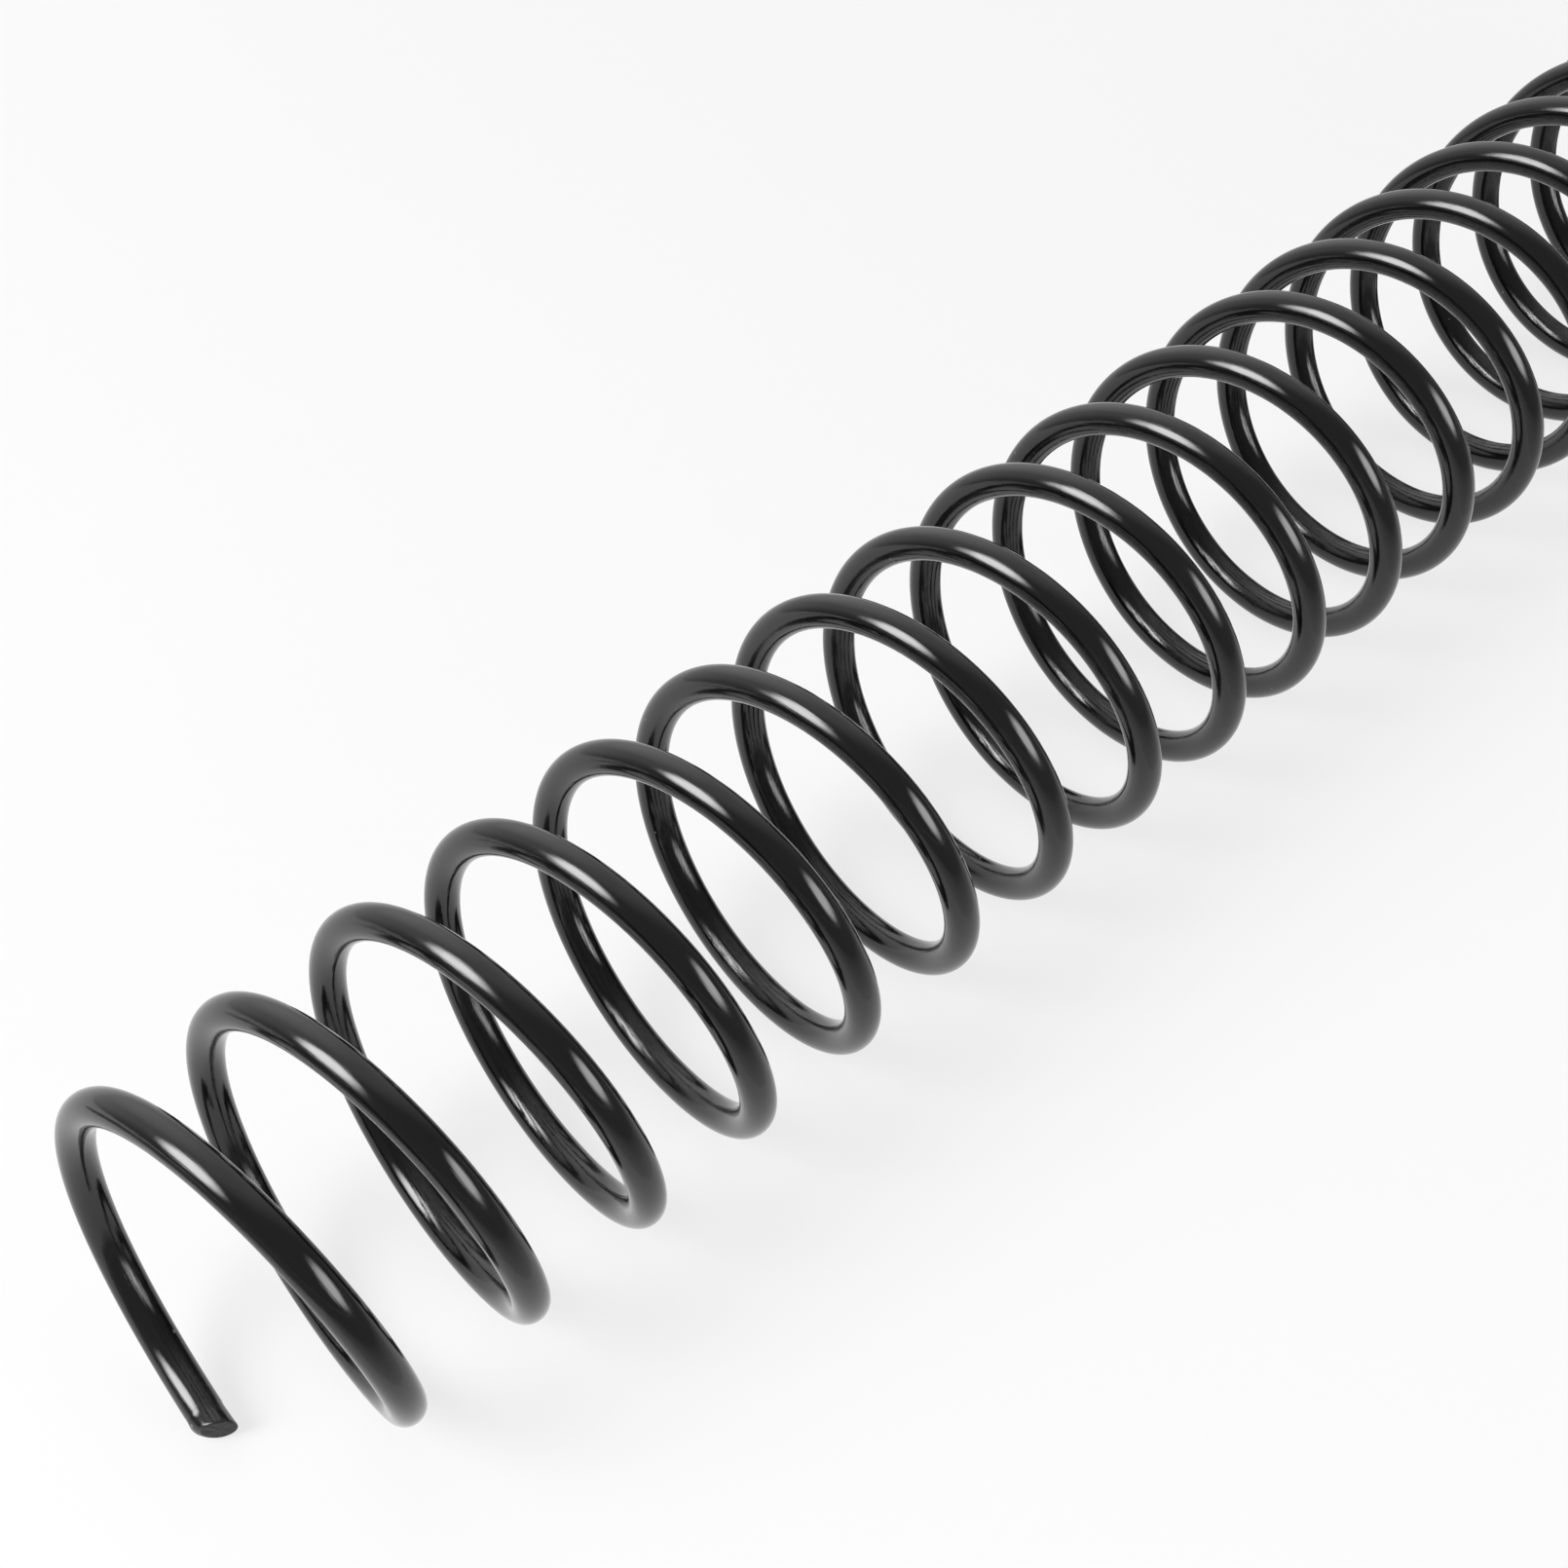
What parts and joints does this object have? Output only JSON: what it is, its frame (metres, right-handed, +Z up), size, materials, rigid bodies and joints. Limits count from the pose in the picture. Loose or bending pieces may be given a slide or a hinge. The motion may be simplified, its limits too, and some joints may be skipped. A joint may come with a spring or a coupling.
{
  "type": "coil compression spring",
  "caption": "Long open-ended coil compression spring of one round black-coated steel wire, with a right-hand constant-pitch coil and plain sheared ends.",
  "frame": {"origin": "centre of the lying spring, on the surface it lies on, under the middle of its coil axis", "axes": "+Y along the coil axis from the near wire end to the far one, +Z up, +X completes a right-handed frame"},
  "size_m": [0.0404, 0.3068, 0.0405],
  "materials": {
    "black_coat": "gloss"
  },
  "bodies": {
    "near_coil": {"near_end": "black_coat", "turn_01_right": "black_coat"},
    "turn_02_left": {"turn_02_left": "black_coat"},
    "turn_02_right": {"turn_02_right": "black_coat"},
    "turn_03_left": {"turn_03_left": "black_coat"},
    "turn_03_right": {"turn_03_right": "black_coat"},
    "turn_04_left": {"turn_04_left": "black_coat"},
    "turn_04_right": {"turn_04_right": "black_coat"},
    "turn_05_left": {"turn_05_left": "black_coat"},
    "turn_05_right": {"turn_05_right": "black_coat"},
    "turn_06_left": {"turn_06_left": "black_coat"},
    "turn_06_right": {"turn_06_right": "black_coat"},
    "turn_07_left": {"turn_07_left": "black_coat"},
    "turn_07_right": {"turn_07_right": "black_coat"},
    "turn_08_left": {"turn_08_left": "black_coat"},
    "turn_08_right": {"turn_08_right": "black_coat"},
    "turn_09_left": {"turn_09_left": "black_coat"},
    "turn_09_right": {"turn_09_right": "black_coat"},
    "turn_10_left": {"turn_10_left": "black_coat"},
    "turn_10_right": {"turn_10_right": "black_coat"},
    "turn_11_left": {"turn_11_left": "black_coat"},
    "turn_11_right": {"turn_11_right": "black_coat"},
    "turn_12_left": {"turn_12_left": "black_coat"},
    "turn_12_right": {"turn_12_right": "black_coat"},
    "turn_13_left": {"turn_13_left": "black_coat"},
    "turn_13_right": {"turn_13_right": "black_coat"},
    "turn_14_left": {"turn_14_left": "black_coat"},
    "turn_14_right": {"turn_14_right": "black_coat"},
    "turn_15_left": {"turn_15_left": "black_coat"},
    "turn_15_right": {"turn_15_right": "black_coat"},
    "turn_16_left": {"turn_16_left": "black_coat"},
    "turn_16_right": {"turn_16_right": "black_coat"},
    "turn_17_left": {"turn_17_left": "black_coat"},
    "turn_17_right": {"turn_17_right": "black_coat"},
    "turn_18_left": {"turn_18_left": "black_coat"},
    "turn_18_right": {"turn_18_right": "black_coat"},
    "turn_19_left": {"turn_19_left": "black_coat"},
    "turn_19_right": {"turn_19_right": "black_coat"},
    "turn_20_left": {"turn_20_left": "black_coat"},
    "turn_20_right": {"turn_20_right": "black_coat"},
    "turn_21_left": {"turn_21_left": "black_coat"},
    "turn_21_right": {"turn_21_right": "black_coat"},
    "turn_22_left": {"turn_22_left": "black_coat"},
    "far_end": {"far_end": "black_coat"}
  },
  "joints": [
    {"name": "spring_compression", "type": "hinge", "parent": "near_coil", "child": "turn_02_left", "pos_m": [0, -0.138, 0.00175], "axis": [0.9957, -0.0928, 0], "range_deg": [0, 7.6], "stiffness_Nm_per_rad": 17.8},
    {"name": "twist_turn_02_right", "type": "hinge", "parent": "turn_02_left", "child": "turn_02_right", "pos_m": [0, -0.1311, 0.03875], "axis": [-0.9957, -0.0928, 0], "range_deg": [0, 15.2], "stiffness_Nm_per_rad": 17.8},
    {"name": "twist_turn_03_left", "type": "hinge", "parent": "turn_02_right", "child": "turn_03_left", "pos_m": [0, -0.1242, 0.00175], "axis": [0.9957, -0.0928, 0], "range_deg": [0, 15.2], "stiffness_Nm_per_rad": 17.8},
    {"name": "twist_turn_03_right", "type": "hinge", "parent": "turn_03_left", "child": "turn_03_right", "pos_m": [0, -0.1173, 0.03875], "axis": [-0.9957, -0.0928, 0], "range_deg": [0, 15.2], "stiffness_Nm_per_rad": 17.8},
    {"name": "twist_turn_04_left", "type": "hinge", "parent": "turn_03_right", "child": "turn_04_left", "pos_m": [0, -0.1104, 0.00175], "axis": [0.9957, -0.0928, 0], "range_deg": [0, 15.2], "stiffness_Nm_per_rad": 17.8},
    {"name": "twist_turn_04_right", "type": "hinge", "parent": "turn_04_left", "child": "turn_04_right", "pos_m": [0, -0.1035, 0.03875], "axis": [-0.9957, -0.0928, 0], "range_deg": [0, 15.2], "stiffness_Nm_per_rad": 17.8},
    {"name": "twist_turn_05_left", "type": "hinge", "parent": "turn_04_right", "child": "turn_05_left", "pos_m": [0, -0.0966, 0.00175], "axis": [0.9957, -0.0928, 0], "range_deg": [0, 15.2], "stiffness_Nm_per_rad": 17.8},
    {"name": "twist_turn_05_right", "type": "hinge", "parent": "turn_05_left", "child": "turn_05_right", "pos_m": [0, -0.0897, 0.03875], "axis": [-0.9957, -0.0928, 0], "range_deg": [0, 15.2], "stiffness_Nm_per_rad": 17.8},
    {"name": "twist_turn_06_left", "type": "hinge", "parent": "turn_05_right", "child": "turn_06_left", "pos_m": [0, -0.0828, 0.00175], "axis": [0.9957, -0.0928, 0], "range_deg": [0, 15.2], "stiffness_Nm_per_rad": 17.8},
    {"name": "twist_turn_06_right", "type": "hinge", "parent": "turn_06_left", "child": "turn_06_right", "pos_m": [0, -0.0759, 0.03875], "axis": [-0.9957, -0.0928, 0], "range_deg": [0, 15.2], "stiffness_Nm_per_rad": 17.8},
    {"name": "twist_turn_07_left", "type": "hinge", "parent": "turn_06_right", "child": "turn_07_left", "pos_m": [0, -0.069, 0.00175], "axis": [0.9957, -0.0928, 0], "range_deg": [0, 15.2], "stiffness_Nm_per_rad": 17.8},
    {"name": "twist_turn_07_right", "type": "hinge", "parent": "turn_07_left", "child": "turn_07_right", "pos_m": [0, -0.0621, 0.03875], "axis": [-0.9957, -0.0928, 0], "range_deg": [0, 15.2], "stiffness_Nm_per_rad": 17.8},
    {"name": "twist_turn_08_left", "type": "hinge", "parent": "turn_07_right", "child": "turn_08_left", "pos_m": [0, -0.0552, 0.00175], "axis": [0.9957, -0.0928, 0], "range_deg": [0, 15.2], "stiffness_Nm_per_rad": 17.8},
    {"name": "twist_turn_08_right", "type": "hinge", "parent": "turn_08_left", "child": "turn_08_right", "pos_m": [0, -0.0483, 0.03875], "axis": [-0.9957, -0.0928, 0], "range_deg": [0, 15.2], "stiffness_Nm_per_rad": 17.8},
    {"name": "twist_turn_09_left", "type": "hinge", "parent": "turn_08_right", "child": "turn_09_left", "pos_m": [0, -0.0414, 0.00175], "axis": [0.9957, -0.0928, 0], "range_deg": [0, 15.2], "stiffness_Nm_per_rad": 17.8},
    {"name": "twist_turn_09_right", "type": "hinge", "parent": "turn_09_left", "child": "turn_09_right", "pos_m": [0, -0.0345, 0.03875], "axis": [-0.9957, -0.0928, 0], "range_deg": [0, 15.2], "stiffness_Nm_per_rad": 17.8},
    {"name": "twist_turn_10_left", "type": "hinge", "parent": "turn_09_right", "child": "turn_10_left", "pos_m": [0, -0.0276, 0.00175], "axis": [0.9957, -0.0928, 0], "range_deg": [0, 15.2], "stiffness_Nm_per_rad": 17.8},
    {"name": "twist_turn_10_right", "type": "hinge", "parent": "turn_10_left", "child": "turn_10_right", "pos_m": [0, -0.0207, 0.03875], "axis": [-0.9957, -0.0928, 0], "range_deg": [0, 15.2], "stiffness_Nm_per_rad": 17.8},
    {"name": "twist_turn_11_left", "type": "hinge", "parent": "turn_10_right", "child": "turn_11_left", "pos_m": [0, -0.0138, 0.00175], "axis": [0.9957, -0.0928, 0], "range_deg": [0, 15.2], "stiffness_Nm_per_rad": 17.8},
    {"name": "twist_turn_11_right", "type": "hinge", "parent": "turn_11_left", "child": "turn_11_right", "pos_m": [0, -0.0069, 0.03875], "axis": [-0.9957, -0.0928, 0], "range_deg": [0, 15.2], "stiffness_Nm_per_rad": 17.8},
    {"name": "twist_turn_12_left", "type": "hinge", "parent": "turn_11_right", "child": "turn_12_left", "pos_m": [0, 0, 0.00175], "axis": [0.9957, -0.0928, 0], "range_deg": [0, 15.2], "stiffness_Nm_per_rad": 17.8},
    {"name": "twist_turn_12_right", "type": "hinge", "parent": "turn_12_left", "child": "turn_12_right", "pos_m": [0, 0.0069, 0.03875], "axis": [-0.9957, -0.0928, 0], "range_deg": [0, 15.2], "stiffness_Nm_per_rad": 17.8},
    {"name": "twist_turn_13_left", "type": "hinge", "parent": "turn_12_right", "child": "turn_13_left", "pos_m": [0, 0.0138, 0.00175], "axis": [0.9957, -0.0928, 0], "range_deg": [0, 15.2], "stiffness_Nm_per_rad": 17.8},
    {"name": "twist_turn_13_right", "type": "hinge", "parent": "turn_13_left", "child": "turn_13_right", "pos_m": [0, 0.0207, 0.03875], "axis": [-0.9957, -0.0928, 0], "range_deg": [0, 15.2], "stiffness_Nm_per_rad": 17.8},
    {"name": "twist_turn_14_left", "type": "hinge", "parent": "turn_13_right", "child": "turn_14_left", "pos_m": [0, 0.0276, 0.00175], "axis": [0.9957, -0.0928, 0], "range_deg": [0, 15.2], "stiffness_Nm_per_rad": 17.8},
    {"name": "twist_turn_14_right", "type": "hinge", "parent": "turn_14_left", "child": "turn_14_right", "pos_m": [0, 0.0345, 0.03875], "axis": [-0.9957, -0.0928, 0], "range_deg": [0, 15.2], "stiffness_Nm_per_rad": 17.8},
    {"name": "twist_turn_15_left", "type": "hinge", "parent": "turn_14_right", "child": "turn_15_left", "pos_m": [0, 0.0414, 0.00175], "axis": [0.9957, -0.0928, 0], "range_deg": [0, 15.2], "stiffness_Nm_per_rad": 17.8},
    {"name": "twist_turn_15_right", "type": "hinge", "parent": "turn_15_left", "child": "turn_15_right", "pos_m": [0, 0.0483, 0.03875], "axis": [-0.9957, -0.0928, 0], "range_deg": [0, 15.2], "stiffness_Nm_per_rad": 17.8},
    {"name": "twist_turn_16_left", "type": "hinge", "parent": "turn_15_right", "child": "turn_16_left", "pos_m": [0, 0.0552, 0.00175], "axis": [0.9957, -0.0928, 0], "range_deg": [0, 15.2], "stiffness_Nm_per_rad": 17.8},
    {"name": "twist_turn_16_right", "type": "hinge", "parent": "turn_16_left", "child": "turn_16_right", "pos_m": [0, 0.0621, 0.03875], "axis": [-0.9957, -0.0928, 0], "range_deg": [0, 15.2], "stiffness_Nm_per_rad": 17.8},
    {"name": "twist_turn_17_left", "type": "hinge", "parent": "turn_16_right", "child": "turn_17_left", "pos_m": [0, 0.069, 0.00175], "axis": [0.9957, -0.0928, 0], "range_deg": [0, 15.2], "stiffness_Nm_per_rad": 17.8},
    {"name": "twist_turn_17_right", "type": "hinge", "parent": "turn_17_left", "child": "turn_17_right", "pos_m": [0, 0.0759, 0.03875], "axis": [-0.9957, -0.0928, 0], "range_deg": [0, 15.2], "stiffness_Nm_per_rad": 17.8},
    {"name": "twist_turn_18_left", "type": "hinge", "parent": "turn_17_right", "child": "turn_18_left", "pos_m": [0, 0.0828, 0.00175], "axis": [0.9957, -0.0928, 0], "range_deg": [0, 15.2], "stiffness_Nm_per_rad": 17.8},
    {"name": "twist_turn_18_right", "type": "hinge", "parent": "turn_18_left", "child": "turn_18_right", "pos_m": [0, 0.0897, 0.03875], "axis": [-0.9957, -0.0928, 0], "range_deg": [0, 15.2], "stiffness_Nm_per_rad": 17.8},
    {"name": "twist_turn_19_left", "type": "hinge", "parent": "turn_18_right", "child": "turn_19_left", "pos_m": [0, 0.0966, 0.00175], "axis": [0.9957, -0.0928, 0], "range_deg": [0, 15.2], "stiffness_Nm_per_rad": 17.8},
    {"name": "twist_turn_19_right", "type": "hinge", "parent": "turn_19_left", "child": "turn_19_right", "pos_m": [0, 0.1035, 0.03875], "axis": [-0.9957, -0.0928, 0], "range_deg": [0, 15.2], "stiffness_Nm_per_rad": 17.8},
    {"name": "twist_turn_20_left", "type": "hinge", "parent": "turn_19_right", "child": "turn_20_left", "pos_m": [0, 0.1104, 0.00175], "axis": [0.9957, -0.0928, 0], "range_deg": [0, 15.2], "stiffness_Nm_per_rad": 17.8},
    {"name": "twist_turn_20_right", "type": "hinge", "parent": "turn_20_left", "child": "turn_20_right", "pos_m": [0, 0.1173, 0.03875], "axis": [-0.9957, -0.0928, 0], "range_deg": [0, 15.2], "stiffness_Nm_per_rad": 17.8},
    {"name": "twist_turn_21_left", "type": "hinge", "parent": "turn_20_right", "child": "turn_21_left", "pos_m": [0, 0.1242, 0.00175], "axis": [0.9957, -0.0928, 0], "range_deg": [0, 15.2], "stiffness_Nm_per_rad": 17.8},
    {"name": "twist_turn_21_right", "type": "hinge", "parent": "turn_21_left", "child": "turn_21_right", "pos_m": [0, 0.1311, 0.03875], "axis": [-0.9957, -0.0928, 0], "range_deg": [0, 15.2], "stiffness_Nm_per_rad": 17.8},
    {"name": "twist_turn_22_left", "type": "hinge", "parent": "turn_21_right", "child": "turn_22_left", "pos_m": [0, 0.138, 0.00175], "axis": [0.9957, -0.0928, 0], "range_deg": [0, 15.2], "stiffness_Nm_per_rad": 17.8},
    {"name": "twist_far_end", "type": "hinge", "parent": "turn_22_left", "child": "far_end", "pos_m": [0, 0.1449, 0.03875], "axis": [-0.9957, -0.0928, 0], "range_deg": [0, 15.2], "stiffness_Nm_per_rad": 17.8}
  ],
  "couplings": [
    {"joint": "twist_turn_02_right", "follows": "spring_compression", "ratio": 2},
    {"joint": "twist_turn_03_left", "follows": "spring_compression", "ratio": 2},
    {"joint": "twist_turn_03_right", "follows": "spring_compression", "ratio": 2},
    {"joint": "twist_turn_04_left", "follows": "spring_compression", "ratio": 2},
    {"joint": "twist_turn_04_right", "follows": "spring_compression", "ratio": 2},
    {"joint": "twist_turn_05_left", "follows": "spring_compression", "ratio": 2},
    {"joint": "twist_turn_05_right", "follows": "spring_compression", "ratio": 2},
    {"joint": "twist_turn_06_left", "follows": "spring_compression", "ratio": 2},
    {"joint": "twist_turn_06_right", "follows": "spring_compression", "ratio": 2},
    {"joint": "twist_turn_07_left", "follows": "spring_compression", "ratio": 2},
    {"joint": "twist_turn_07_right", "follows": "spring_compression", "ratio": 2},
    {"joint": "twist_turn_08_left", "follows": "spring_compression", "ratio": 2},
    {"joint": "twist_turn_08_right", "follows": "spring_compression", "ratio": 2},
    {"joint": "twist_turn_09_left", "follows": "spring_compression", "ratio": 2},
    {"joint": "twist_turn_09_right", "follows": "spring_compression", "ratio": 2},
    {"joint": "twist_turn_10_left", "follows": "spring_compression", "ratio": 2},
    {"joint": "twist_turn_10_right", "follows": "spring_compression", "ratio": 2},
    {"joint": "twist_turn_11_left", "follows": "spring_compression", "ratio": 2},
    {"joint": "twist_turn_11_right", "follows": "spring_compression", "ratio": 2},
    {"joint": "twist_turn_12_left", "follows": "spring_compression", "ratio": 2},
    {"joint": "twist_turn_12_right", "follows": "spring_compression", "ratio": 2},
    {"joint": "twist_turn_13_left", "follows": "spring_compression", "ratio": 2},
    {"joint": "twist_turn_13_right", "follows": "spring_compression", "ratio": 2},
    {"joint": "twist_turn_14_left", "follows": "spring_compression", "ratio": 2},
    {"joint": "twist_turn_14_right", "follows": "spring_compression", "ratio": 2},
    {"joint": "twist_turn_15_left", "follows": "spring_compression", "ratio": 2},
    {"joint": "twist_turn_15_right", "follows": "spring_compression", "ratio": 2},
    {"joint": "twist_turn_16_left", "follows": "spring_compression", "ratio": 2},
    {"joint": "twist_turn_16_right", "follows": "spring_compression", "ratio": 2},
    {"joint": "twist_turn_17_left", "follows": "spring_compression", "ratio": 2},
    {"joint": "twist_turn_17_right", "follows": "spring_compression", "ratio": 2},
    {"joint": "twist_turn_18_left", "follows": "spring_compression", "ratio": 2},
    {"joint": "twist_turn_18_right", "follows": "spring_compression", "ratio": 2},
    {"joint": "twist_turn_19_left", "follows": "spring_compression", "ratio": 2},
    {"joint": "twist_turn_19_right", "follows": "spring_compression", "ratio": 2},
    {"joint": "twist_turn_20_left", "follows": "spring_compression", "ratio": 2},
    {"joint": "twist_turn_20_right", "follows": "spring_compression", "ratio": 2},
    {"joint": "twist_turn_21_left", "follows": "spring_compression", "ratio": 2},
    {"joint": "twist_turn_21_right", "follows": "spring_compression", "ratio": 2},
    {"joint": "twist_turn_22_left", "follows": "spring_compression", "ratio": 2},
    {"joint": "twist_far_end", "follows": "spring_compression", "ratio": 2}
  ]
}
